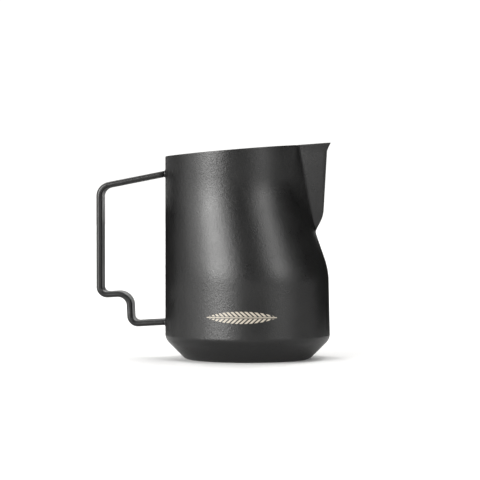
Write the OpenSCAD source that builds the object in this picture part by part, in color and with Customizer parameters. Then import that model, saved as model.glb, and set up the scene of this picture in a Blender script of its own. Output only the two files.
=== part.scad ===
// Milk frothing pitcher: a one-piece formed steel cup with a pressed pouring spout,
// and a flat strap handle welded to its back wall.
// Millimetres. The origin is the centre of the base, Z is up, the spout points to +X
// and the handle to -X. Every level section of the cup is a circle that touches the
// straight back wall. From the notch up, the wall leaves that circle along its tangents to
// two creases, and the spout's two flanks run from there to a rounded nose.

/* [Cup] */
// Outside radius of the lower wall
body_radius = 42; // [40:0.5:44]
// Height of the rim over the centre of the base
rim_height = 106.6; // [103:0.2:110]
// Rise of the rim for each mm towards the spout
rim_slope = 0.084; // [0:0.006:0.12]
// Thickness of the formed sheet
wall = 0.9; // [0.7:0.1:1.3]
// Height and depth of the 45 degree chamfer round the foot
foot_chamfer = 10.2; // [8:0.2:12]
// Outside radius where the chamfer turns into the flat base
foot_corner = 4; // [2.5:0.5:5]

/* [Front wall] */
// Inward lean of the lower front wall for each mm of height
side_lean = 0.021; // [0:0.003:0.03]
// Height where the lower wall turns in to the waist
waist_height = 45.6; // [44:0.2:47]
// Inward run of the waist for each mm of height
waist_slope = 0.35; // [0.32:0.01:0.38]
// Distance from the axis to the front of the neck's circle
neck_reach = 27.9; // [27:0.1:29]
// Width over which the waist turns into the upright neck
neck_blend = 3; // [2:0.25:4]

/* [Spout] */
// Height where the two creases start
spout_start = 63.2; // [62.4:0.2:64]
// Height of the notch under the spout
notch_height = 64.74; // [64.2:0.06:65.4]
// Outward run of the spout's underside for each mm of height
shelf_slope = 0.505; // [0.45:0.005:0.55]
// Height where the underside turns up into the ridge
shelf_height = 72.8; // [72:0.2:74]
// Outward run of the ridge for each mm of height
ridge_lean = 0.057; // [0.03:0.003:0.08]
// Inward run of the creases for each mm of height
crease_lean = 0.185; // [0.175:0.005:0.195]
// Half the distance between the creases at the rim
spout_half_width = 9.5; // [8.5:0.25:10.5]
// Share of each flank that the rounded nose takes
nose_round = 0.3; // [0.2:0.02:0.4]
// Outward reach of the pouring lip
lip_reach = 1.75; // [0:0.25:2.5]
// Height of the pouring lip's flare
lip_height = 4.5; // [3:0.5:6]

/* [Handle] */
// Width of the strap
strap_width = 14; // [10:0.5:16]
// Thickness of the strap
strap_thickness = 2.9; // [2:0.1:3.2]
// Distance from the axis to the middle of the grip
grip_reach = 75.5; // [72:0.5:80]
// Height of the strap's middle at the upper joint
upper_joint = 94.3; // [91:0.3:95.5]
// Height of the corner at the top of the grip
grip_top = 87.7; // [84:0.5:89]
// Height of the corner at the bottom of the grip
grip_bottom = 32.3; // [30:0.5:36]
// Distance from the axis to the lower step
step_reach = 60.2; // [57:0.5:63]
// Height of the strap's middle at the lower joint
lower_joint = 18.5; // [17:0.3:21]
// Radius of the two bends of the grip
grip_bend = 6; // [4:0.5:8]
// Radius of the two bends of the lower step
step_bend = 4; // [3:0.5:5]
// Width of the weld bead round each end of the strap
weld_leg = 1.2; // [0.8:0.1:2]

/* [Hidden] */
$fn = 72;
coating = [0.17, 0.17, 0.18];
foot_blend = 2.2;
waist_blend = 2;
notch_blend = 1.1;
ridge_blend = 1.36;
crease_power = 0.5;
crease_blend = 0.3;
lip_power = 1.35;
lip_fade = 1.5;
smallest_half_width = 0.35;
// Shares of a set-in depth by which the creases and the nose move, so that the flanks keep their thickness.
crease_set_back = 0.83;
crease_set_in = 0.64;
nose_set_in = 1.4;
// Least distance of a crease from the section's middle, as a share of the circle's radius.
tangent_share = 1.002;
foot_half_width = 12;
corner_centre = body_radius - foot_chamfer - foot_corner * tan(22.5);
base_disc_radius = 0.9 * corner_centre;
crease_top = rim_height + rim_slope * 28;

// Columns round the cup: the spout with both its creases, then the wall.
spout_steps = 16;
nose_share = 0.5;
fan_steps = 3;
fan_end = 45;
wall_step = 7.5;
fixed_steps = (360 - 2 * fan_end) / wall_step + 1;
wall_columns = fixed_steps + 2 * fan_steps;
columns = spout_steps + 1 + wall_columns;

// Rows: heights up to the start of the creases, then shares of what is left to the rim.
foot_turns = [0 : 15 : 45];
low_rows = [5, 8.2, 9.2, 10.2, 11.2, 12.4, 24, 39, 42, 44.6, 47, 49.4, 52, 57, 61.4, 63.2];
high_rows = [0.009, 0.018, 0.036, 0.055, 0.09, 0.135, 0.165, 0.195, 0.225, 0.255, 0.3,
             0.36, 0.42, 0.49, 0.56, 0.64, 0.74, 0.84, 0.9, 0.93, 0.955, 0.98, 1];

// The lesser of two lines, with the corner between them rounded over the width k.
function soften(a, b, k) = min(a, b) - pow(max(k - abs(a - b), 0), 2) / (4 * k);

// The greater of two lines, rounded in the same way.
function soften_out(a, b, k) = -soften(-a, -b, k);

// Level distance that a wall of this slope moves when it is set in by t.
function set_in(slope, t) = t * sqrt(1 + slope * slope);

function corner_top(t) = foot_corner - (foot_corner - t) * cos(45);
function corner_radius(z, t) =
    corner_centre + sqrt(max(pow(foot_corner - t, 2) - pow(foot_corner - z, 2), 0));
function foot_radius(z, t) =
    z < corner_top(t) ? corner_radius(z, t) : body_radius - foot_chamfer + z - set_in(1, t);
function side_reach(z) = body_radius - side_lean * (z - foot_chamfer);
function waist_reach(z) = side_reach(waist_height) - waist_slope * (z - waist_height);
function shelf_reach(z) = waist_reach(notch_height) + shelf_slope * (z - notch_height);
function ridge_reach(z) = shelf_reach(shelf_height) + ridge_lean * (z - shelf_height);
function crease_reach(z) = waist_reach(notch_height) - crease_lean * (z - notch_height);

// Back and front of the section at height z, on the surface set in by t.
function back(z, t) = -soften(body_radius - t, foot_radius(z, t), foot_blend);
function lower_front(z, t) =
    soften(side_reach(z) - set_in(side_lean, t), foot_radius(z, t), foot_blend);
function upper_front(z, t) =
    soften_out(waist_reach(z) - set_in(waist_slope, t), neck_reach - t, neck_blend);
function front(z, t) = soften(lower_front(z, t), upper_front(z, t), waist_blend);

// Reach of the spout's nose at height z.
function nose(z, t) =
    soften(soften_out(front(z, t), shelf_reach(z) - nose_set_in * set_in(shelf_slope, t), notch_blend),
           ridge_reach(z) - nose_set_in * set_in(ridge_lean, t), ridge_blend);

// Half the distance between the creases. Below the spout it only spaces the columns.
function half_width(z) =
    z > spout_start
    ? max(smallest_half_width,
          spout_half_width * pow((z - spout_start) / (crease_top - spout_start), crease_power))
    : min(foot_half_width, smallest_half_width + 0.5 * (spout_start - z));

function circle_point(x, r, angle) = [x + r * cos(angle), r * sin(angle)];

// The crease on one side. Above the notch it stands a little outside the circle of centre x and radius r.
function crease_point(x, r, z, t) =
    let (y = z > spout_start
             ? max(smallest_half_width, half_width(z) - crease_set_in * t)
             : half_width(z),
         round_x = x + sqrt(r * r - y * y))
    z > spout_start
    ? [soften_out(round_x, crease_reach(z) - crease_set_back * t, crease_blend), y]
    : [round_x, y];

// Angle at which the straight run from the crease c meets the circle as its tangent.
function tangent_angle(x, r, c) =
    let (d = max(norm([c[0] - x, c[1]]), tangent_share * r))
    atan2(c[1], c[0] - x) + acos(r / d);

// A point of the spout: v runs from -1 at one crease to 1 at the other, and c is the second crease.
function spout_point(c, tip, v) =
    let (apex = (tip - c[0] * nose_round / 2) / (1 - nose_round / 2),
         a = [apex + (c[0] - apex) * nose_round, c[1] * nose_round],
         side = sign(v),
         s = 0.5 + 0.5 * v / nose_share,
         k = (abs(v) - nose_share) / (1 - nose_share))
    abs(v) > nose_share
    ? [a[0] + (c[0] - a[0]) * k, side * (a[1] + (c[1] - a[1]) * k)]
    : [((1 - s) * (1 - s) + s * s) * a[0] + 2 * s * (1 - s) * apex, (2 * s - 1) * a[1]];

// Angle of a wall column: a fan that starts at the tangent, then even steps round the back.
function wall_angle(k, start) =
    k < fan_steps
    ? start + (fan_end - start) * k / fan_steps
    : k < fan_steps + fixed_steps
      ? fan_end + wall_step * (k - fan_steps)
      : 360 - start - (fan_end - start) * (wall_columns - 1 - k) / fan_steps;

function spout_share(i) = 2 * i / spout_steps - 1;

// The point of column i on the level section at height z, set in by t.
function section_point(i, z, t) =
    let (f = front(z, t),
         b = back(z, t),
         x = (f + b) / 2,
         r = (f - b) / 2,
         c = crease_point(x, r, z, t))
    i > spout_steps
    ? circle_point(x, r, wall_angle(i - spout_steps - 1, tangent_angle(x, r, c)))
    : z > spout_start
      ? spout_point(c, nose(z, t), spout_share(i))
      : circle_point(x, r, asin(c[1] / r) * spout_share(i));

// Height of the slanted rim over column i, closed in on in two steps.
function rim_over(i, t) =
    let (first = rim_height + rim_slope * section_point(i, rim_height, t)[0])
    rim_height + rim_slope * section_point(i, first, t)[0];

// Outward push of the pouring lip, full at the nose and nothing at the creases.
function lip_push(i, below) =
    i > spout_steps || below >= lip_height
    ? 0
    : lip_reach * pow(1 - below / lip_height, lip_power)
      * pow(1 - abs(spout_share(i)), lip_fade);

function surface_point(i, z, top, t) =
    let (p = section_point(i, z, t),
         push = lip_push(i, top - z))
    [p[0] + push, p[1], z + rim_slope * push];

function foot_ring(turn, t) =
    [for (i = [0 : columns - 1])
        surface_point(i, foot_corner - (foot_corner - t) * cos(turn), 2 * rim_height, t)];
function low_ring(z, t) =
    [for (i = [0 : columns - 1]) surface_point(i, z, 2 * rim_height, t)];
function high_ring(share, t) =
    [for (i = [0 : columns - 1])
        let (top = rim_over(i, t))
        surface_point(i, spout_start + (top - spout_start) * share, top, t)];

// Rings of one skin from the flat base up to the rim.
function skin(t) =
    concat([for (turn = foot_turns) foot_ring(turn, t)],
           [for (z = low_rows) low_ring(z, t)],
           [for (share = high_rows) high_ring(share, t)]);

function backwards(list) = [for (k = [len(list) - 1 : -1 : 0]) list[k]];

// Two triangles for each cell between ring j and the next one.
function cell(j, i, count) =
    let (n = (i + 1) % count,
         a = j * count,
         b = a + count)
    [[a + i, b + i, b + n], [a + i, b + n, a + n]];

module body_shell() {
    rings = concat(skin(0), backwards(skin(wall)));
    last = (len(rings) - 1) * columns;
    points = [for (ring = rings) each ring];
    outside_base = [for (i = [0 : columns - 1]) i];
    inside_base = [for (i = [columns - 1 : -1 : 0]) last + i];
    cells = [for (j = [0 : len(rings) - 2], i = [0 : columns - 1]) each cell(j, i, columns)];
    // The disc lies inside the base's own metal, so that each side of the base comes out as one flat face.
    color(coating) {
        polyhedron(points = points, faces = concat([outside_base, inside_base], cells), convexity = 8);
        cylinder(r = base_disc_radius, h = wall);
    }
}

// The strap's middle line, from inside the wall to inside the wall, as [x, z, bend radius].
upper_fall = (upper_joint - grip_top) / (grip_reach - body_radius);
strap_path = [
    [-body_radius + 3, upper_joint + 3 * upper_fall, 0],
    [-grip_reach, grip_top, grip_bend],
    [-grip_reach, grip_bottom, step_bend],
    [-step_reach, grip_bottom + 0.9, grip_bend],
    [-step_reach + 0.6, lower_joint - 0.9, step_bend],
    [-body_radius + 3, lower_joint + 0.15, 0]
];
bends = len(strap_path) - 2;

// Steps in each bend, and in each rounded edge of the strap.
bend_steps = 8;
edge_steps = 8;
strap_columns = 2 * edge_steps + 2;

function point_at(k) = [strap_path[k][0], strap_path[k][1]];
function way(k) = let (d = point_at(k + 1) - point_at(k)) d / norm(d);
function heading(k) = atan2(way(k)[1], way(k)[0]);
function turn_at(k) =
    let (a = way(k - 1), b = way(k))
    atan2(a[0] * b[1] - a[1] * b[0], a * b);
function across(angle) = [-sin(angle), cos(angle)];

// One station of a bend: the middle line's point and its heading, a share of the way round.
function bend_station(k, share) =
    let (r = strap_path[k][2] * sign(turn_at(k)),
         trim = strap_path[k][2] * tan(abs(turn_at(k)) / 2),
         centre = point_at(k) - way(k - 1) * trim + across(heading(k - 1)) * r,
         angle = heading(k - 1) + turn_at(k) * share)
    [centre - across(angle) * r, angle];

stations = concat(
    [[point_at(0), heading(0)]],
    [for (k = [1 : bends], s = [0 : bend_steps]) bend_station(k, s / bend_steps)],
    [[point_at(bends + 1), heading(bends)]]);

// The strap's section is a flat bar with two half-round edges.
function strap_ring(station) =
    [for (side = [1, -1], s = [0 : edge_steps])
        let (angle = 180 * s / edge_steps - 90 + (side > 0 ? 0 : 180),
             r = strap_thickness / 2,
             v = side * (strap_width / 2 - r) + r * cos(angle),
             p = station[0] + across(station[1]) * r * sin(angle))
        [p[0], v, p[1]]];

module strap() {
    points = [for (station = stations) each strap_ring(station)];
    last = (len(stations) - 1) * strap_columns;
    start_face = [for (i = [0 : strap_columns - 1]) i];
    end_face = [for (i = [strap_columns - 1 : -1 : 0]) last + i];
    cells = [for (j = [0 : len(stations) - 2], i = [0 : strap_columns - 1])
                each cell(j, i, strap_columns)];
    polyhedron(points = points, faces = concat([start_face, end_face], cells), convexity = 8);
}

// What lies inside the cup's outer surface, with the same flats as its back wall.
module wall_core(z) {
    f = front(z, 0);
    r = (f + body_radius) / 2;
    outline = [for (a = [0 : wall_step : 360 - wall_step]) circle_point(f - r, r, a)];
    translate([0, 0, z - 9]) linear_extrude(18) polygon(outline);
}

module handle_strap() {
    color(coating)
        difference() {
            strap();
            wall_core(upper_joint);
            wall_core(lower_joint);
        }
}

// A frustum of the strap's own outline, wide where it meets the wall.
module bead(joint, angle) {
    depth = weld_leg + 1;
    foot = strap_thickness / 2 + depth;
    head = strap_thickness / 2 + 0.1;
    span = strap_width - strap_thickness;
    translate([-body_radius + 1.2, 0, joint])
        rotate([0, angle, 0]) {
            rotate([90, 0, 0])
                linear_extrude(span, center = true)
                    polygon([[-foot, 0], [foot, 0], [head, depth], [-head, depth]]);
            for (side = [-1, 1])
                translate([0, side * span / 2, 0])
                    cylinder(r1 = foot, r2 = head, h = depth);
        }
}

module weld(z, joint, angle) {
    color(coating)
        difference() {
            bead(joint, angle);
            strap();
            wall_core(z);
        }
}

module upper_handle_weld() {
    weld(upper_joint, upper_joint + 1.2 * upper_fall, atan2(way(0)[0], way(0)[1]));
}

module lower_handle_weld() {
    lead = way(bends);
    weld(lower_joint, lower_joint + 0.15 - 1.8 * lead[1] / lead[0], atan2(-lead[0], -lead[1]));
}

body_shell();
handle_strap();
upper_handle_weld();
lower_handle_weld();
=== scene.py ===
"""Milk frothing pitcher: finished surfaces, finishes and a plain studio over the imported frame.

The cup is a shell whose level sections are circles that touch the straight back wall, with the two
flanks of a pressed spout running out of them to a rounded nose. A flat strap handle is welded to the
back. The shapes are worked out in millimetres and written to the meshes in metres.
"""

import logging
import math
from dataclasses import dataclass
from enum import Enum

import bpy
import numpy as np
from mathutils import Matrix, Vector


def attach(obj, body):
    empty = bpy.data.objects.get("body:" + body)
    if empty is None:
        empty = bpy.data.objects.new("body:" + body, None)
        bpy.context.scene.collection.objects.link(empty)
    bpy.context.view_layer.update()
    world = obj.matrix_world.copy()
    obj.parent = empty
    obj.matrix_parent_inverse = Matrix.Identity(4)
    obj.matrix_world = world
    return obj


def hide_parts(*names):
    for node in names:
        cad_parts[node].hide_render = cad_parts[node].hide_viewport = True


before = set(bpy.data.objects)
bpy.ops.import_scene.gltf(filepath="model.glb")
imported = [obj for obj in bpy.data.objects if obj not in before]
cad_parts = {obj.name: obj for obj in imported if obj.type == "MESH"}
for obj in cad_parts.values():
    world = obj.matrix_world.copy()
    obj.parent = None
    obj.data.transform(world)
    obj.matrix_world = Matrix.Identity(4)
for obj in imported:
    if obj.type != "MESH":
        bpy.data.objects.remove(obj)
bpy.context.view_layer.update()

Array = np.ndarray
NodeSocket = bpy.types.NodeSocket
Sockets = dict[str, NodeSocket]
Run = tuple[float, float, int]

LOG = logging.getLogger("pitcher")
MM = 0.001
ROOT = "root"


# ---- Curves and meshes ----


def soften(a: Array, b: Array, width: float) -> Array:
    """The lesser of two heights, with their corner rounded by a parabola.

    Formula: the lesser of a and b, less the square of what the gap falls short of the width, over
    four widths.

    Args:
        a: First values.
        b: Second values.
        width: Gap between a and b under which the corner is rounded.

    Returns:
        The rounded lesser values.
    """
    return np.minimum(a, b) - np.maximum(width - np.abs(a - b), 0.0) ** 2 / (4.0 * width)


def soften_out(a: Array, b: Array, width: float) -> Array:
    """The greater of two heights, rounded in the same way.

    Args:
        a: First values.
        b: Second values.
        width: Gap between a and b under which the corner is rounded.

    Returns:
        The rounded greater values.
    """
    return -soften(-a, -b, width)


def set_in(slope: float, depth: Array) -> Array:
    """Level distance that a wall of this slope moves when it is set in by depth."""
    return depth * math.sqrt(1.0 + slope * slope)


def spread(*pieces: Run) -> Array:
    """Joins evenly spaced runs of numbers, each (start, stop, count) with both ends included."""
    return np.concatenate([np.linspace(start, stop, count) for start, stop, count in pieces])


def grid_faces(rows: int, columns: int, closed_rows: bool = False) -> Array:
    """Four-sided faces of a grid whose columns run round and close.

    Args:
        rows: Number of rings.
        columns: Points in each ring.
        closed_rows: True if the last ring joins the first.

    Returns:
        Array of shape (faces, 4) of point numbers, turned outwards when the columns run
        anticlockwise about the way the rows climb.
    """
    r = np.arange(rows if closed_rows else rows - 1)[:, None]
    c = np.arange(columns)[None, :]
    here, above = r * columns, ((r + 1) % rows) * columns
    beside = (c + 1) % columns
    return np.stack([here + c, here + beside, above + beside, above + c], axis=-1).reshape(-1, 4)


def new_piece(
    name: str, points: Array, quads: Array, fans: Array | None = None
) -> bpy.types.Object:
    """Makes a smooth-shaded mesh object at the origin from points in millimetres.

    Args:
        name: Name of the piece.
        points: Array of shape (points, 3).
        quads: Array of shape (faces, 4).
        fans: Optional array of shape (faces, 3) that closes the ends.

    Returns:
        The new object, linked to the scene.
    """
    corners = [quads.reshape(-1)]
    sizes = [np.full(len(quads), 4)]
    if fans is not None:
        corners.append(fans.reshape(-1))
        sizes.append(np.full(len(fans), 3))
    loops, counts = np.concatenate(corners), np.concatenate(sizes)
    starts = np.concatenate([[0], np.cumsum(counts)[:-1]])
    mesh = bpy.data.meshes.new(name)
    mesh.vertices.add(len(points))
    mesh.vertices.foreach_set("co", (points * MM).astype(np.float32).reshape(-1))
    mesh.loops.add(len(loops))
    mesh.loops.foreach_set("vertex_index", loops.astype(np.int32))
    mesh.polygons.add(len(counts))
    mesh.polygons.foreach_set("loop_start", starts.astype(np.int32))
    mesh.polygons.foreach_set("loop_total", counts.astype(np.int32))
    mesh.polygons.foreach_set("use_smooth", np.ones(len(counts), bool))
    mesh.update(calc_edges=True)
    mesh.validate()
    piece = bpy.data.objects.new(name, mesh)
    bpy.context.scene.collection.objects.link(piece)
    return piece


def closed_piece(name: str, grid: Array, ends: Array) -> bpy.types.Object:
    """Makes a closed piece from a stack of rings, with a fan over the first ring and the last.

    Args:
        name: Name of the piece.
        grid: Array of shape (rings, columns, 3).
        ends: Middles of the two fans, an array of shape (2, 3).

    Returns:
        The new object. Its faces are the grid's, row by row, then the first fan, then the last.
    """
    rows, columns = grid.shape[:2]
    c = np.arange(columns)
    beside = (c + 1) % columns
    first, last = rows * columns, (rows - 1) * columns
    fans = np.concatenate([
        np.stack([np.full(columns, first), beside, c], axis=-1),
        np.stack([np.full(columns, first + 1), last + c, last + beside], axis=-1),
    ])
    points = np.concatenate([grid.reshape(-1, 3), ends])
    return new_piece(name, points, grid_faces(rows, columns), fans)


def report(piece: bpy.types.Object) -> None:
    """Logs a piece's name, faces and size."""
    size = [round(1000 * s, 1) for s in piece.dimensions]
    LOG.info("%s: %d faces, %s mm", piece.name, len(piece.data.polygons), size)


# ---- Shader helpers ----


class Wiring:
    """Short ways to add and join the nodes of one material, group or world."""

    def __init__(self, tree: bpy.types.NodeTree) -> None:
        """Keeps the tree that the nodes go into."""
        self.tree = tree

    def add(self, kind: str, **values: object) -> bpy.types.Node:
        """Adds a node and sets its plain properties."""
        node = self.tree.nodes.new(kind)
        for key, value in values.items():
            setattr(node, key, value)
        return node

    def feed(self, socket: NodeSocket, value: object) -> None:
        """Joins a socket or sets its number or colour."""
        if isinstance(value, NodeSocket):
            self.tree.links.new(value, socket)
        else:
            socket.default_value = value

    def fill(self, node: bpy.types.Node, **values: object) -> bpy.types.Node:
        """Feeds a node's named inputs, with _ for a space in a name."""
        for key, value in values.items():
            self.feed(node.inputs[key.replace("_", " ")], value)
        return node

    def maths(self, operation: str, *values: object, clamp: bool = False) -> NodeSocket:
        """Result of a Math node on numbers or sockets."""
        node = self.add("ShaderNodeMath", operation=operation, use_clamp=clamp)
        for socket, value in zip(node.inputs, values):
            self.feed(socket, value)
        return node.outputs[0]

    def times(self, first: object, *others: object) -> NodeSocket:
        """Product of numbers or sockets."""
        for other in others:
            first = self.maths("MULTIPLY", first, other)
        return first

    def vector(self, operation: str, *values: object) -> NodeSocket:
        """Vector result of a Vector Math node."""
        node = self.add("ShaderNodeVectorMath", operation=operation)
        for socket, value in zip(node.inputs, values):
            self.feed(socket, value)
        return node.outputs[0]

    def step(self, value: object, low: float, high: float) -> NodeSocket:
        """Smooth rise from 0 at low to 1 at high."""
        node = self.add("ShaderNodeMapRange", interpolation_type="SMOOTHSTEP")
        return self.fill(node, Value=value, From_Min=low, From_Max=high).outputs[0]

    def range(
        self, value: object, low: float, high: float, to_low: float = 0.0, to_high: float = 1.0
    ) -> NodeSocket:
        """Straight change from one range of numbers to another."""
        node = self.add("ShaderNodeMapRange", clamp=True)
        self.fill(node, Value=value, From_Min=low, From_Max=high, To_Min=to_low, To_Max=to_high)
        return node.outputs[0]

    def mix(self, share: float, a: NodeSocket, b: NodeSocket) -> NodeSocket:
        """Adds two numbers, b weighted by the share and a by the rest."""
        rest = self.times(a, 1.0 - share)
        return self.maths("ADD", rest, self.times(b, share))

    def blend(self, factor: object, a: object, b: object) -> NodeSocket:
        """Colour mix of a and b."""
        node = self.add("ShaderNodeMix", data_type="RGBA")
        for socket, value in ((node.inputs[0], factor), (node.inputs[6], a), (node.inputs[7], b)):
            self.feed(socket, value)
        return node.outputs[2]

    def noise(self, place: object, scale: float, detail: float, falloff: float = 0.5) -> NodeSocket:
        """Noise from 0 to 1 at a number of waves for each metre."""
        node = self.add("ShaderNodeTexNoise")
        self.fill(node, Vector=place, Scale=scale, Detail=detail, Roughness=falloff)
        return node.outputs["Fac"]

    def bump(self, height: object, strength: float, distance: float) -> NodeSocket:
        """Normal of a bumped surface."""
        node = self.fill(self.add("ShaderNodeBump"), Height=height, Strength=strength, Distance=distance)
        return node.outputs["Normal"]

    def place(self) -> NodeSocket:
        """The piece's own coordinates in metres."""
        return self.add("ShaderNodeTexCoord").outputs["Object"]

    def group(self, tree: bpy.types.NodeTree, **values: object) -> bpy.types.Node:
        """Places a node group and feeds its named inputs."""
        return self.fill(self.add("ShaderNodeGroup", node_tree=tree), **values)


def start_material(name: str) -> tuple[bpy.types.Material, Wiring, bpy.types.Node]:
    """A new material, the helper on its nodes, and its Principled shader."""
    made = bpy.data.materials.new(name)
    made.use_nodes = True
    return made, Wiring(made.node_tree), made.node_tree.nodes["Principled BSDF"]


class Socket(Enum):
    """Kinds of socket that the shader groups use."""

    NUMBER = "NodeSocketFloat"
    VECTOR = "NodeSocketVector"


class ShaderGroup:
    """A shader node group with named inputs and outputs, built once by name."""

    name = ""
    takes: dict[str, Socket] = {}
    gives: dict[str, Socket] = {}

    def tree(self) -> bpy.types.NodeTree:
        """The group's node tree, made on first use."""
        found = bpy.data.node_groups.get(self.name)
        if found:
            return found
        tree = bpy.data.node_groups.new(self.name, "ShaderNodeTree")
        for name, kind in self.takes.items():
            tree.interface.new_socket(name=name, in_out="INPUT", socket_type=kind.value)
        for name, kind in self.gives.items():
            tree.interface.new_socket(name=name, in_out="OUTPUT", socket_type=kind.value)
        wires = Wiring(tree)
        start, end = wires.add("NodeGroupInput"), wires.add("NodeGroupOutput")
        results = self.build(wires, {s.name: s for s in start.outputs if s.name})
        for name, socket in results.items():
            wires.feed(end.inputs[name], socket)
        return tree

    def build(self, wires: Wiring, takes: Sockets) -> Sockets:
        """Builds the inside of the group.

        Args:
            wires: Helper on the group's tree.
            takes: The group's input sockets by name.

        Returns:
            The sockets to join to the outputs, by name.
        """
        raise NotImplementedError


class CoatingGrain(ShaderGroup):
    """The sprayed coating's fine grain, with a slower cloud, the same in every direction."""

    name = "coating_grain"
    takes = {"Place": Socket.VECTOR, "Grain Scale": Socket.NUMBER, "Cloud Scale": Socket.NUMBER}
    gives = {"Height": Socket.NUMBER, "Mottle": Socket.NUMBER}
    grain_detail = 3.0
    grain_falloff = 0.6
    wide_scale = 0.33
    wide_detail = 1.0
    wide_share = 0.45
    cloud_detail = 2.0
    fine_share = 0.6
    mottle_low = 0.35
    mottle_high = 0.65

    def build(self, wires: Wiring, takes: Sockets) -> Sockets:
        """Adds a wide noise to the fine one for the height, and a slow one to it for the mottle."""
        place, scale = takes["Place"], takes["Grain Scale"]
        fine = wires.noise(place, scale, self.grain_detail, self.grain_falloff)
        wide = wires.noise(place, wires.times(scale, self.wide_scale), self.wide_detail)
        cloud = wires.noise(place, takes["Cloud Scale"], self.cloud_detail)
        height = wires.maths("ADD", fine, wires.times(wide, self.wide_share))
        patchy = wires.mix(self.fine_share, cloud, fine)
        return {"Height": height, "Mottle": wires.range(patchy, self.mottle_low, self.mottle_high)}


class BrushedLines(ShaderGroup):
    """Lines left by polishing round the cup: noise drawn out along the level direction."""

    name = "brushed_lines"
    takes = {"Place": Socket.VECTOR, "Line Scale": Socket.NUMBER, "Run": Socket.NUMBER}
    gives = {"Height": Socket.NUMBER, "Streak": Socket.NUMBER}
    line_detail = 3.0
    line_falloff = 0.65
    band_squash = (0.3, 0.3, 0.12)
    band_detail = 1.0
    streak_low = 0.3
    streak_high = 0.7

    def build(self, wires: Wiring, takes: Sockets) -> Sockets:
        """Stretches the noise by sampling it slowly across and quickly up."""
        squash = wires.add("ShaderNodeCombineXYZ")
        wires.feed(squash.inputs[0], takes["Run"])
        wires.feed(squash.inputs[1], takes["Run"])
        wires.feed(squash.inputs[2], takes["Line Scale"])
        drawn = wires.vector("MULTIPLY", takes["Place"], squash.outputs[0])
        lines = wires.noise(drawn, 1.0, self.line_detail, self.line_falloff)
        bands = wires.noise(wires.vector("MULTIPLY", drawn, self.band_squash), 1.0, self.band_detail)
        return {"Height": lines, "Streak": wires.range(bands, self.streak_low, self.streak_high)}


class EtchedLeaf(ShaderGroup):
    """A plain leaf etched through the coating: slanted veins in a pointed outline, and a stem."""

    name = "etched_leaf"
    takes = {
        "Place": Socket.VECTOR,
        "Wall Radius": Socket.NUMBER,
        "Height": Socket.NUMBER,
        "Half Length": Socket.NUMBER,
        "Half Width": Socket.NUMBER,
    }
    gives = {"Mask": Socket.NUMBER}
    vein_pitch = 0.00236
    vein_share = 0.62
    vein_slant = 1.15
    stem_half = 0.00022
    gap_half = 0.00055
    edge = 0.00009
    outline_power = 0.8
    tip_fade = 0.004

    def build(self, wires: Wiring, takes: Sockets) -> Sockets:
        """Wraps the leaf round the wall and masks veins, stem and outline.

        Along is the arc from the middle of the near side, across the height from the leaf's middle.
        The outline is the half width times a power of one less the square of the share of the half
        length. A vein is lit where the slanted distance's share of the pitch is under the vein
        share.
        """
        split = wires.add("ShaderNodeSeparateXYZ")
        wires.feed(split.inputs[0], takes["Place"])
        x, y, z = split.outputs
        turn = wires.maths("ARCTAN2", x, wires.times(y, -1.0))
        along = wires.times(turn, takes["Wall Radius"])
        across = wires.maths("ABSOLUTE", wires.maths("SUBTRACT", z, takes["Height"]))
        share = wires.maths("DIVIDE", along, takes["Half Length"])
        room = wires.maths("SUBTRACT", 1.0, wires.times(share, share), clamp=True)
        pointed = wires.maths("POWER", room, self.outline_power)
        outline = wires.times(pointed, takes["Half Width"])
        inside = wires.step(wires.maths("SUBTRACT", outline, across), -self.edge, self.edge)
        slanted = wires.maths("ADD", along, wires.times(across, self.vein_slant))
        phase = wires.maths("FRACT", wires.maths("DIVIDE", slanted, self.vein_pitch))
        soft = self.edge / self.vein_pitch
        left = wires.step(wires.maths("SUBTRACT", self.vein_share, phase), -soft, soft)
        lit = wires.times(wires.step(phase, 0.0, 2 * soft), left)
        off_stem = wires.step(across, self.gap_half - self.edge, self.gap_half + self.edge)
        stem = wires.step(wires.maths("SUBTRACT", self.stem_half, across), -self.edge, self.edge)
        within = wires.step(room, 0.0, self.tip_fade)
        veins = wires.times(lit, off_stem, inside)
        mark = wires.maths("MAXIMUM", veins, wires.times(stem, within))
        return {"Mask": wires.times(mark, within)}


# ---- Finishes ----


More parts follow.
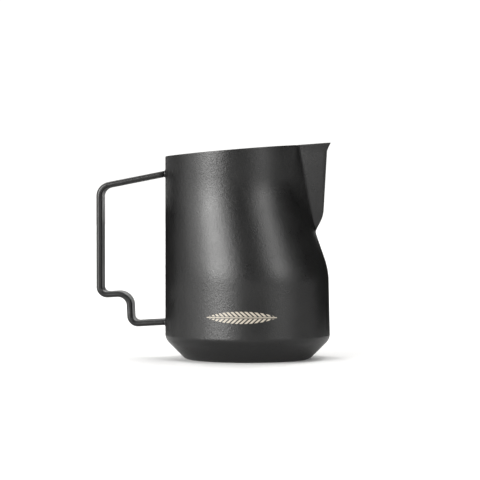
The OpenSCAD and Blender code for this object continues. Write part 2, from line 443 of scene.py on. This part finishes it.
@dataclass(frozen=True)
class SatinCoating:
    """Charcoal coating sprayed on steel: dark, satin, with a fine grain. Can carry the etched leaf."""

    name: str
    colour: tuple[float, float, float] = (0.0064, 0.0064, 0.0065)
    colour_light: tuple[float, float, float] = (0.0090, 0.0089, 0.0088)
    roughness: float = 0.32
    roughness_swing: float = 0.10
    grain_scale: float = 1700.0
    cloud_scale: float = 90.0
    grain_depth: float = 0.00014
    grain_strength: float = 0.6
    etched: bool = False
    etched_colour: tuple[float, float, float] = (0.415, 0.372, 0.305)
    etched_roughness: float = 0.42
    leaf_height: float = 0.0231
    leaf_half_length: float = 0.0180
    leaf_half_width: float = 0.0030
    wall_radius: float = 0.0420

    def material(self) -> bpy.types.Material:
        """The finish as a material, made on first use.

        Returns:
            The material.
        """
        found = bpy.data.materials.get(self.name)
        if found:
            return found
        made, wires, shader = start_material(self.name)
        place = wires.place()
        scales = {"Grain_Scale": self.grain_scale, "Cloud_Scale": self.cloud_scale}
        grain = wires.group(CoatingGrain().tree(), Place=place, **scales)
        mottle = grain.outputs["Mottle"]
        colour = wires.blend(mottle, (*self.colour, 1.0), (*self.colour_light, 1.0))
        half = self.roughness_swing / 2
        rough = wires.range(mottle, 0.0, 1.0, self.roughness - half, self.roughness + half)
        if self.etched:
            leaf = wires.group(
                EtchedLeaf().tree(),
                Place=place,
                Wall_Radius=self.wall_radius,
                Height=self.leaf_height,
                Half_Length=self.leaf_half_length,
                Half_Width=self.leaf_half_width,
            )
            mask = leaf.outputs["Mask"]
            colour = wires.blend(mask, colour, (*self.etched_colour, 1.0))
            more = wires.times(mask, self.etched_roughness - self.roughness)
            rough = wires.maths("ADD", rough, more)
        bumped = wires.bump(grain.outputs["Height"], self.grain_strength, self.grain_depth)
        wires.fill(shader, Base_Color=colour, Roughness=rough, Normal=bumped)
        return made


@dataclass(frozen=True)
class BareSteel:
    """Bare stainless steel, polished in level lines round the cup."""

    name: str
    colour: tuple[float, float, float] = (0.56, 0.55, 0.53)
    colour_light: tuple[float, float, float] = (0.66, 0.65, 0.63)
    roughness: float = 0.30
    roughness_swing: float = 0.08
    line_scale: float = 5200.0
    line_run: float = 70.0
    line_depth: float = 0.00002
    line_strength: float = 0.25

    def material(self) -> bpy.types.Material:
        """The finish as a material, made on first use.

        Returns:
            The material.
        """
        found = bpy.data.materials.get(self.name)
        if found:
            return found
        made, wires, shader = start_material(self.name)
        values = {"Line_Scale": self.line_scale, "Run": self.line_run}
        lines = wires.group(BrushedLines().tree(), Place=wires.place(), **values)
        streak = lines.outputs["Streak"]
        colour = wires.blend(streak, (*self.colour, 1.0), (*self.colour_light, 1.0))
        half = self.roughness_swing / 2
        rough = wires.range(streak, 0.0, 1.0, self.roughness - half, self.roughness + half)
        bumped = wires.bump(lines.outputs["Height"], self.line_strength, self.line_depth)
        wires.fill(shader, Base_Color=colour, Roughness=rough, Metallic=1.0, Normal=bumped)
        return made


# ---- Cup ----


@dataclass
class Cup:
    """The formed cup: chamfered foot, straight back, waist, neck, pressed spout, slanted rim."""

    body_radius: float = 42.0
    rim_height: float = 106.6
    rim_slope: float = 0.084
    wall: float = 0.9
    foot_chamfer: float = 10.2
    foot_corner: float = 4.0
    side_lean: float = 0.021
    waist_height: float = 45.6
    waist_slope: float = 0.35
    neck_reach: float = 27.9
    neck_blend: float = 3.0
    spout_start: float = 63.2
    notch_height: float = 64.74
    shelf_slope: float = 0.505
    shelf_height: float = 72.8
    ridge_lean: float = 0.057
    crease_lean: float = 0.185
    spout_half_width: float = 9.5
    nose_round: float = 0.3
    lip_reach: float = 1.75
    lip_height: float = 4.5
    foot_blend: float = 2.2
    waist_blend: float = 2.0
    notch_blend: float = 1.1
    ridge_blend: float = 1.36
    crease_power: float = 0.5
    crease_blend: float = 0.3
    crease_set_back: float = 0.83
    crease_set_in: float = 0.64
    nose_set_in: float = 1.4
    tangent_share: float = 1.002
    lip_power: float = 1.35
    lip_fade: float = 1.5
    crease_round: float = 1.1
    crease_share: float = 0.35
    rim_round: float = 0.34
    smallest_half_width: float = 0.35
    foot_half_width: float = 12.0
    below_spread: float = 0.5
    crease_reach: float = 28.0
    nose_columns: int = 16
    flank_columns: int = 10
    crease_columns: int = 8
    run_columns: int = 8
    wall_columns: int = 74
    corner_rows: int = 8
    rim_rows: int = 9
    rim_passes: int = 3
    low_runs: tuple[Run, ...] = (
        (1.4, 7.4, 6), (7.8, 12.6, 17), (13.6, 38.0, 12), (39.2, 52.0, 17), (53.0, 63.2, 11)
    )
    high_runs: tuple[Run, ...] = ((0.006, 0.30, 46), (0.32, 0.88, 24), (0.892, 1.0, 15))
    inner_start: float = 2.2
    base_shares: tuple[float, ...] = (0.04, 0.2, 0.4, 0.6, 0.8, 0.92)
    inside: BareSteel = BareSteel("bare_steel_inside")
    outside: SatinCoating = SatinCoating("charcoal_satin_cup", etched=True)

    @property
    def corner_centre(self) -> float:
        """Distance from the axis to the centre of the foot's corner radius."""
        return self.body_radius - self.foot_chamfer - self.foot_corner * math.tan(math.pi / 8)

    @property
    def half_columns(self) -> int:
        """Points on one side of a ring, from the nose to the back."""
        spout = self.nose_columns + self.flank_columns + self.crease_columns
        return spout + self.run_columns + self.wall_columns

    def foot_radius(self, z: Array, t: Array) -> Array:
        """Radius of the foot: a corner arc that runs into a 45 degree chamfer.

        Args:
            z: Heights.
            t: Depths that the surface is set in by.

        Returns:
            Radii.
        """
        small = self.foot_corner - t
        arc = self.corner_centre + np.sqrt(np.maximum(small**2 - (self.foot_corner - z) ** 2, 0.0))
        chamfer = self.body_radius - self.foot_chamfer + z - set_in(1.0, t)
        return np.where(z < self.foot_corner - small * math.cos(math.pi / 4), arc, chamfer)

    def side_reach(self, z: Array) -> Array:
        """Front of the lower wall, which leans in a little."""
        return self.body_radius - self.side_lean * (z - self.foot_chamfer)

    def waist_reach(self, z: Array) -> Array:
        """Front of the sloping waist."""
        return self.side_reach(self.waist_height) - self.waist_slope * (z - self.waist_height)

    def back(self, z: Array, t: Array) -> Array:
        """Back of the section: the foot's chamfer, then the straight wall."""
        return -soften(self.body_radius - t, self.foot_radius(z, t), self.foot_blend)

    def front(self, z: Array, t: Array) -> Array:
        """Front of the round section: foot, lower wall, waist and neck joined by rounded corners.

        Args:
            z: Heights.
            t: Depths that the surface is set in by.

        Returns:
            Distances from the axis.
        """
        side = self.side_reach(z) - set_in(self.side_lean, t)
        waist = self.waist_reach(z) - set_in(self.waist_slope, t)
        lower = soften(side, self.foot_radius(z, t), self.foot_blend)
        upper = soften_out(waist, self.neck_reach - t, self.neck_blend)
        return soften(lower, upper, self.waist_blend)

    def shelf_reach(self, z: Array) -> Array:
        """Underside of the spout, running out from the notch."""
        return self.waist_reach(self.notch_height) + self.shelf_slope * (z - self.notch_height)

    def nose(self, z: Array, t: Array) -> Array:
        """Reach of the spout's nose: out along the underside, then up the ridge.

        Args:
            z: Heights.
            t: Depths that the surface is set in by.

        Returns:
            Distances from the axis.
        """
        shelf = self.shelf_reach(z) - self.nose_set_in * set_in(self.shelf_slope, t)
        ridge = self.shelf_reach(self.shelf_height) + self.ridge_lean * (z - self.shelf_height)
        out = soften_out(self.front(z, t), shelf, self.notch_blend)
        return soften(out, ridge - self.nose_set_in * set_in(self.ridge_lean, t), self.ridge_blend)

    def half_width(self, z: Array) -> Array:
        """Half the distance between the creases. Below the spout it only spaces the columns."""
        top = self.rim_height + self.rim_slope * self.crease_reach
        rise = np.maximum(z - self.spout_start, 0.0) / (top - self.spout_start)
        spout = np.maximum(self.smallest_half_width, self.spout_half_width * rise**self.crease_power)
        widening = self.below_spread * (self.spout_start - z)
        below = np.minimum(self.foot_half_width, self.smallest_half_width + widening)
        return np.where(z > self.spout_start, spout, below)

    def crease_point(self, x: Array, r: Array, z: Array, t: Array) -> tuple[Array, Array]:
        """The crease on one side, which above the notch stands a little outside the section's circle.

        Args:
            x: Middles of the circles.
            r: Radii of the circles.
            z: Heights.
            t: Depths that the surface is set in by.

        Returns:
            Distances towards the spout and across it.
        """
        on_spout = z > self.spout_start
        narrow = np.maximum(self.smallest_half_width, self.half_width(z) - self.crease_set_in * t)
        y = np.where(on_spout, narrow, self.half_width(z))
        on_circle = x + np.sqrt(r * r - y * y)
        line = self.waist_reach(self.notch_height) - self.crease_lean * (z - self.notch_height)
        outside = soften_out(on_circle, line - self.crease_set_back * t, self.crease_blend)
        return np.where(on_spout, outside, on_circle), y

    def half_section(self, z: Array, t: Array) -> tuple[Array, Array]:
        """One side of the level section, from the nose to the back.

        A nose column follows the parabola with its ends on the flanks and its control point where
        they would meet. A flank column is on the straight line to the crease, a crease column on a
        small parabola over the corner, a run column on the straight line from the crease that
        touches the circle as its tangent, and a wall column on the circle. Below the spout, every
        point is moved onto the circle along its own radius.

        Args:
            z: Heights, an array of shape (rows, columns).
            t: Depths that the surface is set in by, of shape (rows, 1).

        Returns:
            Distances towards the spout and across it.
        """
        f, b = self.front(z, t), self.back(z, t)
        x, r = (f + b) / 2.0, (f - b) / 2.0
        cx, cy = self.crease_point(x, r, z, t)
        away = np.maximum(np.hypot(cx - x, cy), self.tangent_share * r)
        start = np.arctan2(cy, cx - x) + np.arccos(r / away)
        tx, ty = x + r * np.cos(start), r * np.sin(start)
        tip = self.nose(z, t)
        apex = (tip - cx * self.nose_round / 2.0) / (1.0 - self.nose_round / 2.0)
        ax, ay = apex + (cx - apex) * self.nose_round, cy * self.nose_round
        flank, run = np.hypot(cx - ax, cy - ay), np.hypot(tx - cx, ty - cy)
        soft = np.minimum(self.crease_round, self.crease_share * np.minimum(flank, run))
        px, py = cx + (ax - cx) / flank * soft, cy + (ay - cy) / flank * soft
        qx, qy = cx + (tx - cx) / run * soft, cy + (ty - cy) / run * soft

        counts = (self.nose_columns, self.flank_columns, self.crease_columns, self.run_columns)
        share = np.concatenate([np.linspace(0.0, 1.0, n, endpoint=False) for n in counts])[None, :]
        k = np.hstack([share, np.linspace(0.0, 1.0, self.wall_columns)[None, :]])
        kind = np.repeat(np.arange(5), (*counts, self.wall_columns))[None, :]
        s = 0.5 + 0.5 * k
        angle = start + (math.pi - start) * k
        along = [
            ((1 - s) ** 2 + s**2) * ax + 2 * s * (1 - s) * apex,
            ax + (px - ax) * k,
            (1 - k) ** 2 * px + 2 * k * (1 - k) * cx + k**2 * qx,
            qx + (tx - qx) * k,
            x + r * np.cos(angle),
        ]
        across = [
            (2 * s - 1) * ay,
            ay + (py - ay) * k,
            (1 - k) ** 2 * py + 2 * k * (1 - k) * cy + k**2 * qy,
            qy + (ty - qy) * k,
            r * np.sin(angle),
        ]
        out_x, out_y = np.choose(kind, along), np.choose(kind, across)
        stretch = np.where(z > self.spout_start, 1.0, r / np.hypot(out_x - x, out_y))
        return x + (out_x - x) * stretch, out_y * stretch

    def lip_push(self, reach: Array, across: Array, z: Array, below: Array) -> Array:
        """Outward push of the pouring lip, full at the rim over the nose and nothing past the creases.

        Args:
            reach: Distances towards the spout.
            across: Distances across the spout.
            z: Heights.
            below: Distances under the rim.

        Returns:
            Distances towards the spout.
        """
        y = np.clip(np.abs(across) / self.half_width(z), 0.0, 1.0)
        g = self.nose_round
        share = np.where(y < g, 0.5 * y / g, 0.5 + 0.5 * (y - g) / (1.0 - g))
        rise = np.clip(1.0 - below / self.lip_height, 0.0, 1.0) ** self.lip_power
        on_spout = (z > self.spout_start) & (reach > 0.0)
        return np.where(on_spout, self.lip_reach * rise * (1.0 - share) ** self.lip_fade, 0.0)

    def rim_over(self, t: Array) -> Array:
        """Height of the slanted rim over each half column, closed in on step by step."""
        top = np.full((len(t), self.half_columns), self.rim_height)
        for _ in range(self.rim_passes):
            top = self.rim_height + self.rim_slope * self.half_section(top, t)[0]
        return top

    def rings(self, z: Array, t: Array, top: Array) -> Array:
        """Half rings turned into whole rings, with the pouring lip pushed out.

        Args:
            z: Heights, an array of shape (rows, columns).
            t: Depths that the surface is set in by, of shape (rows, 1).
            top: Height of the rim over each point.

        Returns:
            Array of shape (rows, whole columns, 3).
        """
        x, y = self.half_section(z, t)
        push = self.lip_push(x, y, z, top - z)
        half = np.stack([x + push, y, z + self.rim_slope * push], axis=-1)
        half[:, 0, 1] = half[:, -1, 1] = 0.0
        other = half[:, -2:0:-1] * np.array([1.0, -1.0, 1.0])
        return np.concatenate([half, other], axis=1)

    def skin(self, t: float, low: Array, high: Array) -> Array:
        """Rings of one skin from the foot's corner to just under the rim's rounded edge.

        Args:
            t: Depth that the skin is set in by.
            low: Heights up to the start of the creases.
            high: Shares of the way from there to the rim's edge.

        Returns:
            Array of shape (rows, columns, 3).
        """
        depth = np.full((1, 1), t)
        top = self.rim_over(depth)
        columns = top.shape[1]
        small = self.foot_corner - t
        corner = self.foot_corner - small * np.cos(np.linspace(0.0, math.pi / 4, self.corner_rows))
        flat = np.concatenate([corner, low])[:, None] + np.zeros((1, columns))
        tilted = self.spout_start + (top - self.rim_round - self.spout_start) * high[:, None]
        z = np.vstack([flat, tilted])
        return self.rings(z, np.full((len(z), 1), t), np.broadcast_to(top, z.shape))

    def rim(self) -> Array:
        """Rings over the rounded edge: across the wall by a half cosine, and up by a sine.

        Returns:
            Array of shape (rows, columns, 3).
        """
        turn = np.linspace(0.0, math.pi, self.rim_rows + 2)[1:-1, None]
        t = self.wall * (1.0 - np.cos(turn)) / 2.0
        top = self.rim_over(t)
        return self.rings(top - self.rim_round * (1.0 - np.sin(turn)), t, top)

    def build(self) -> bpy.types.Object:
        """Builds the closed shell and gives the inside its own finish.

        Returns:
            The cup.
        """
        low, high = spread(*self.low_runs), spread(*self.high_runs)
        outer, edge = self.skin(0.0, low, high), self.rim()
        inner = self.skin(self.wall, low[low > self.inner_start], high)[::-1]
        shares = np.array(self.base_shares)[:, None, None]
        flat = np.array([1.0, 1.0, 0.0])
        base = outer[:1] * flat * shares + outer[:1] * (1 - flat)
        floor = (inner[-1:] * flat * shares + inner[-1:] * (1 - flat))[::-1]
        grid = np.concatenate([base, outer, edge, inner, floor])
        rows, columns = grid.shape[:2]
        poles = np.array([[0.0, 0.0, 0.0], [0.0, 0.0, self.wall]])
        piece = closed_piece("cup_shell", grid, poles)
        coated_rows = len(base) + len(outer) + len(edge) + 2
        slots = np.zeros(len(piece.data.polygons), np.int32)
        slots[coated_rows * columns : (rows - 1) * columns] = 1
        slots[-columns:] = 1
        piece.data.materials.append(self.outside.material())
        piece.data.materials.append(self.inside.material())
        piece.data.polygons.foreach_set("material_index", slots)
        return piece

    def dress(self, piece: bpy.types.Object) -> None:
        """Puts the cup on the frame in place of its plain solid."""
        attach(piece, ROOT)
        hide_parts("body_shell")


# ---- Handle ----


@dataclass
class Handle:
    """The cranked flat strap with half-round edges, and the weld bead round each end."""

    cup: Cup
    width: float = 14.0
    thickness: float = 2.9
    grip_reach: float = 75.5
    upper_joint: float = 94.3
    grip_top: float = 87.7
    grip_bottom: float = 32.3
    step_reach: float = 60.2
    lower_joint: float = 18.5
    step_rise: float = 0.9
    step_lean: float = 0.6
    joint_rise: float = 0.15
    grip_bend: float = 6.0
    step_bend: float = 4.0
    sunk: float = 0.45
    bead_leg: float = 1.1
    bead_steps: int = 9
    bead_hump: float = 0.10
    bead_share: float = 0.98
    bead_sunk: float = 0.25
    bead_overlap: float = 0.02
    bead_core: float = -0.3
    ripple_depth: float = 0.05
    ripples: int = 22
    bend_steps: int = 18
    edge_steps: int = 14
    flat_steps: int = 8
    coating: SatinCoating = SatinCoating("charcoal_satin_handle")
    bead_coating: SatinCoating = SatinCoating("charcoal_satin_weld")

    @property
    def path(self) -> Array:
        """Corners of the middle line as rows of reach, height and bend radius."""
        wall = self.cup.body_radius
        fall = (self.upper_joint - self.grip_top) / (self.grip_reach - wall)
        return np.array([
            [-wall + self.sunk, self.upper_joint + self.sunk * fall, 0.0],
            [-self.grip_reach, self.grip_top, self.grip_bend],
            [-self.grip_reach, self.grip_bottom, self.step_bend],
            [-self.step_reach, self.grip_bottom + self.step_rise, self.grip_bend],
            [-self.step_reach + self.step_lean, self.lower_joint - self.step_rise, self.step_bend],
            [-wall + self.sunk, self.lower_joint + self.joint_rise, 0.0],
        ])

    def stations(self) -> tuple[Array, Array]:
        """Points and headings along the middle line, with an arc at each corner.

        At a corner the arc's centre is beside the point one tangent length before it, and the arc
        turns from one heading to the next. Straights get extra points.

        Returns:
            Array of shape (stations, 2) of points, and array of headings in radians.
        """
        corners = self.path
        ways = np.diff(corners[:, :2], axis=0)
        headings = np.arctan2(ways[:, 1], ways[:, 0])
        points, angles = [corners[:1, :2]], [headings[:1]]
        for k in range(1, len(corners) - 1):
            turn = (headings[k] - headings[k - 1] + math.pi) % (2 * math.pi) - math.pi
            radius = corners[k, 2] * np.sign(turn)
            trim = corners[k, 2] * math.tan(abs(turn) / 2)
            unit = ways[k - 1] / np.hypot(*ways[k - 1])
            side = np.array([-unit[1], unit[0]])
            centre = corners[k, :2] - unit * trim + side * radius
            arc = headings[k - 1] + turn * np.linspace(0.0, 1.0, self.bend_steps + 1)
            bend = centre + radius * np.stack([np.sin(arc), -np.cos(arc)], axis=-1)
            last = points[-1][-1]
            run = last + (bend[0] - last) * np.linspace(0.0, 1.0, self.flat_steps + 2)[1:-1, None]
            points += [run, bend]
            angles += [np.full(len(run), headings[k - 1]), arc]
        last, end = points[-1][-1], corners[-1, :2]
        run = last + (end - last) * np.linspace(0.0, 1.0, self.flat_steps + 2)[1:, None]
        points.append(run)
        angles.append(np.full(len(run), headings[-1]))
        return np.concatenate(points), np.concatenate(angles)

    def outline(self, grow: float = 0.0) -> Array:
        """The strap's section: a flat bar with two half-round edges.

        Args:
            grow: Distance that the outline is grown by.

        Returns:
            Array of shape (points, 2) of distances across and through the strap, anticlockwise.
        """
        r = self.thickness / 2 + grow
        half = self.width / 2 - self.thickness / 2
        turn = np.linspace(-math.pi / 2, math.pi / 2, self.edge_steps + 1)
        right = np.stack([half + r * np.cos(turn), r * np.sin(turn)], axis=-1)
        span = np.linspace(1.0, -1.0, self.flat_steps + 2)[1:-1]
        top = np.stack([half * span, np.full(len(span), r)], axis=-1)
        return np.concatenate([right, top, -right, -top])

    def build_strap(self) -> bpy.types.Object:
        """Sweeps the section along the middle line and closes both ends.

        Returns:
            The strap.
        """
        middle, angle = self.stations()
        section = self.outline()
        through = np.stack([-np.sin(angle), np.cos(angle)], axis=-1)
        flat = middle[:, None, :] + through[:, None, :] * section[None, :, 1, None]
        across = np.broadcast_to(section[None, :, 0], flat.shape[:2])
        grid = np.stack([flat[..., 0], across, flat[..., 1]], axis=-1)
        ends = np.stack([middle[[0, -1], 0], [0.0, 0.0], middle[[0, -1], 1]], axis=-1)
        piece = closed_piece("strap_handle", grid, ends)
        piece.data.materials.append(self.coating.material())
        return piece

    def build_bead(self, name: str, height: float, heading: float) -> bpy.types.Object:
        """A closed bead round one end of the strap.

        Round the strap's outline, the bead's section runs from the strap's surface over a soft hump
        to the cup's wall, and back inside both. The wall is the circle of the cup's section at that
        height.

        Args:
            name: Name of the piece.
            height: Height of the strap's middle at the wall.
            heading: Heading of the strap as it leaves the wall, in radians.

        Returns:
            The bead.
        """
        level, zero = np.array([[height]]), np.zeros((1, 1))
        front, back = self.cup.front(level, zero)[0, 0], self.cup.back(level, zero)[0, 0]
        x, r = (front + back) / 2, (front - back) / 2
        leg = self.bead_leg
        turn = np.linspace(0.0, math.pi / 2, self.bead_steps)
        hump = 1.0 + self.bead_hump * np.sin(2 * turn)
        out = leg * (1 - np.sin(turn) * hump * self.bead_share)
        out = np.concatenate([out, [-self.bead_sunk, -self.bead_sunk]])
        grow = leg * (1 - np.cos(turn) * hump * self.bead_share) - self.bead_overlap
        grow = np.concatenate([grow, [leg / 2, self.bead_core]])
        loops = []
        for outward, growth in zip(out, grow):
            ring = self.outline(growth)
            y, z = ring[:, 0], height + ring[:, 1]
            wall = x - np.sqrt(r * r - y * y)
            z = z - (outward - (wall + self.cup.body_radius)) * math.tan(heading)
            loops.append(np.stack([wall - outward, y, z], axis=-1))
        grid = np.stack(loops)
        around = np.arange(grid.shape[1]) * 2 * math.pi * self.ripples / grid.shape[1]
        grid[2 : self.bead_steps - 2, :, 0] -= self.ripple_depth * np.sin(around)
        piece = new_piece(name, grid.reshape(-1, 3), grid_faces(*grid.shape[:2], closed_rows=True))
        piece.data.materials.append(self.bead_coating.material())
        return piece

    def build(self) -> dict[str, bpy.types.Object]:
        """Builds the strap and both beads.

        Returns:
            The pieces, by the name of the solid that each stands for.
        """
        wall = self.cup.body_radius
        fall = math.atan2(self.upper_joint - self.grip_top, self.grip_reach - wall)
        climb = self.joint_rise + self.step_rise
        rise = math.atan2(climb, self.step_reach - self.step_lean - wall)
        low = self.lower_joint + self.joint_rise
        return {
            "handle_strap": self.build_strap(),
            "upper_handle_weld": self.build_bead("upper_weld_bead", self.upper_joint, fall),
            "lower_handle_weld": self.build_bead("lower_weld_bead", low, rise),
        }

    def dress(self, pieces: dict[str, bpy.types.Object]) -> None:
        """Puts each piece on the frame in place of its plain solid."""
        for node, piece in pieces.items():
            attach(piece, ROOT)
            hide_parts(node)


# ---- Studio ----


@dataclass(frozen=True)
class SoftBox:
    """A soft light far off in the studio, as a patch of the sky with soft edges.

    Azimuth is its middle, round from the front. Low and high are its ends above level. All but the
    brightness are in degrees.
    """

    azimuth: float
    half_width: float
    low: float
    high: float
    edge: float
    brightness: float

    def glow(self, wires: Wiring, azimuth: NodeSocket, height: NodeSocket) -> NodeSocket:
        """The light that it sends from each way.

        Args:
            wires: Helper on the world's tree.
            azimuth: Angle round from the front, in degrees.
            height: Angle above level, in degrees.

        Returns:
            The brightness from that way.
        """
        turned = wires.maths("WRAP", wires.maths("SUBTRACT", azimuth, self.azimuth), 180.0, -180.0)
        off = wires.maths("ABSOLUTE", turned)
        within = wires.step(off, self.half_width + self.edge, self.half_width - self.edge)
        above = wires.step(height, self.low - self.edge, self.low + self.edge)
        under = wires.step(height, self.high + self.edge, self.high - self.edge)
        return wires.times(within, wires.times(above, under), self.brightness)


@dataclass
class Studio:
    """Pale floor, soft light and the camera."""

    camera_turn: float = 4.5
    camera_distance: float = 1.168
    camera_height: float = 0.088
    camera_aside: float = -0.0039
    camera_tilt: float = 1.35
    focal_length: float = 171.75
    sensor_width: float = 36.0
    camera_clip: tuple[float, float] = (0.05, 50.0)
    floor_size: float = 8.0
    floor_roughness: float = 0.9
    floor_colour: float = 0.90
    floor_colour_mirrored: float = 0.60
    light_colour: tuple[float, float, float] = (1.0, 0.996, 0.985)
    backdrop: float = 1.1
    card_radius: float = 0.17
    card_height: float = 0.072
    card_turns: tuple[float, float] = (13.0, 78.0)
    card_gap: float = 0.0005
    card_colour: float = 0.002
    card_columns: int = 33
    boxes: tuple[SoftBox, ...] = (
        SoftBox(-34.6, 15.5, -12.0, 30.0, 9.0, 12.6),
        SoftBox(-60.0, 24.0, -12.0, 32.0, 10.0, 3.0),
        SoftBox(52.2, 12.5, 6.5, 36.0, 8.0, 6.1),
        SoftBox(66.0, 30.0, 0.0, 34.0, 12.0, 0.25),
        SoftBox(8.0, 26.0, 0.0, 34.0, 10.0, 0.1),
        SoftBox(180.0, 13.0, -5.0, 40.0, 4.0, 2.2),
        SoftBox(150.0, 14.0, 28.0, 55.0, 5.0, 6.0),
        SoftBox(-140.0, 16.0, 28.0, 55.0, 5.0, 6.0),
        SoftBox(0.0, 200.0, 62.0, 100.0, 8.0, 2.0),
    )

    def set_camera(self) -> None:
        """Places the camera in front of the pitcher's side, a little towards the spout."""
        turn, tilt = math.radians(self.camera_turn), math.radians(self.camera_tilt)
        right = Vector((math.cos(turn), math.sin(turn), 0.0))
        ahead = Vector((-math.sin(turn), math.cos(turn), 0.0))
        data = bpy.data.cameras.new("camera")
        data.sensor_fit, data.sensor_width = "HORIZONTAL", self.sensor_width
        data.lens = self.focal_length
        data.clip_start, data.clip_end = self.camera_clip
        camera = bpy.data.objects.new("camera", data)
        above = Vector((0, 0, self.camera_height))
        camera.location = right * self.camera_aside - ahead * self.camera_distance + above
        look = ahead * math.cos(tilt) - Vector((0, 0, math.sin(tilt)))
        camera.rotation_euler = look.to_track_quat("-Z", "Y").to_euler()
        bpy.context.scene.collection.objects.link(camera)
        bpy.context.scene.camera = camera

    def set_floor(self) -> None:
        """Lays the pale floor, which isn't part of the object and is dimmer in reflections."""
        half = self.floor_size / 2 / MM
        points = half * np.array([[-1, -1, 0], [1, -1, 0], [1, 1, 0], [-1, 1, 0]])
        floor = new_piece("floor", points, np.array([[0, 1, 2, 3]]))
        made, wires, shader = start_material("pale_floor")
        seen = wires.add("ShaderNodeLightPath").outputs["Is Camera Ray"]
        mirrored, pale = (self.floor_colour_mirrored,) * 3, (self.floor_colour,) * 3
        colour = wires.blend(seen, (*mirrored, 1.0), (*pale, 1.0))
        wires.fill(shader, Base_Color=colour, Roughness=self.floor_roughness, Specular_IOR_Level=0.0)
        floor.data.materials.append(made)

    def set_dark_card(self, name: str, side: float) -> None:
        """Stands a low dark card behind the pitcher, which only the reflections see.

        Args:
            name: Name of the card.
            side: 1 for the spout's side, -1 for the handle's side.
        """
        turn = side * np.radians(np.linspace(*self.card_turns, self.card_columns))
        reach, raised = self.card_radius / MM, np.full(len(turn), self.card_gap / MM)
        foot = np.stack([reach * np.sin(turn), reach * np.cos(turn), raised], axis=-1)
        points = np.concatenate([foot, foot + np.array([0.0, 0.0, self.card_height / MM])])
        k = np.arange(len(turn) - 1)
        card = new_piece(name, points, np.stack([k, k + 1, k + 1 + len(turn), k + len(turn)], axis=-1))
        made, wires, shader = start_material(name)
        dark = (*(self.card_colour,) * 3, 1.0)
        wires.fill(shader, Base_Color=dark, Roughness=1.0, Specular_IOR_Level=0.0)
        card.data.materials.append(made)
        card.visible_camera = card.visible_diffuse = card.visible_shadow = False

    def set_sky(self) -> None:
        """Lights the studio with the soft boxes, before a plain white backdrop."""
        world = bpy.data.worlds.new("studio")
        world.use_nodes = True
        bpy.context.scene.world = world
        wires = Wiring(world.node_tree)
        background = world.node_tree.nodes["Background"]
        split = wires.add("ShaderNodeSeparateXYZ")
        wires.feed(split.inputs[0], wires.add("ShaderNodeTexCoord").outputs["Generated"])
        x, y, z = split.outputs
        azimuth = wires.maths("DEGREES", wires.maths("ARCTAN2", x, wires.times(y, -1.0)))
        height = wires.maths("DEGREES", wires.maths("ARCSINE", z))
        total = 0.0
        for box in self.boxes:
            total = wires.maths("ADD", total, box.glow(wires, azimuth, height))
        total = wires.times(total, wires.maths("GREATER_THAN", z, 0.0))
        seen = wires.add("ShaderNodeLightPath").outputs["Is Camera Ray"]
        strength = wires.fill(wires.add("ShaderNodeMix"), Factor=seen, A=total, B=self.backdrop)
        wires.fill(background, Color=(*self.light_colour, 1.0), Strength=strength.outputs[0])

    def build(self) -> None:
        """Sets up camera, floor, lights and colour handling."""
        bpy.context.scene.view_settings.view_transform = "Standard"
        self.set_camera()
        self.set_floor()
        self.set_dark_card("dark_card_right", 1.0)
        self.set_dark_card("dark_card_left", -1.0)
        self.set_sky()


def main() -> None:
    """Builds the studio and the pitcher, piece by piece."""
    logging.basicConfig(level=logging.INFO, format="%(name)s: %(message)s")
    Studio().build()
    cup = Cup()
    shell = cup.build()
    cup.dress(shell)
    report(shell)
    handle = Handle(cup)
    pieces = handle.build()
    handle.dress(pieces)
    for piece in pieces.values():
        report(piece)


if __name__ == "__main__":
    main()
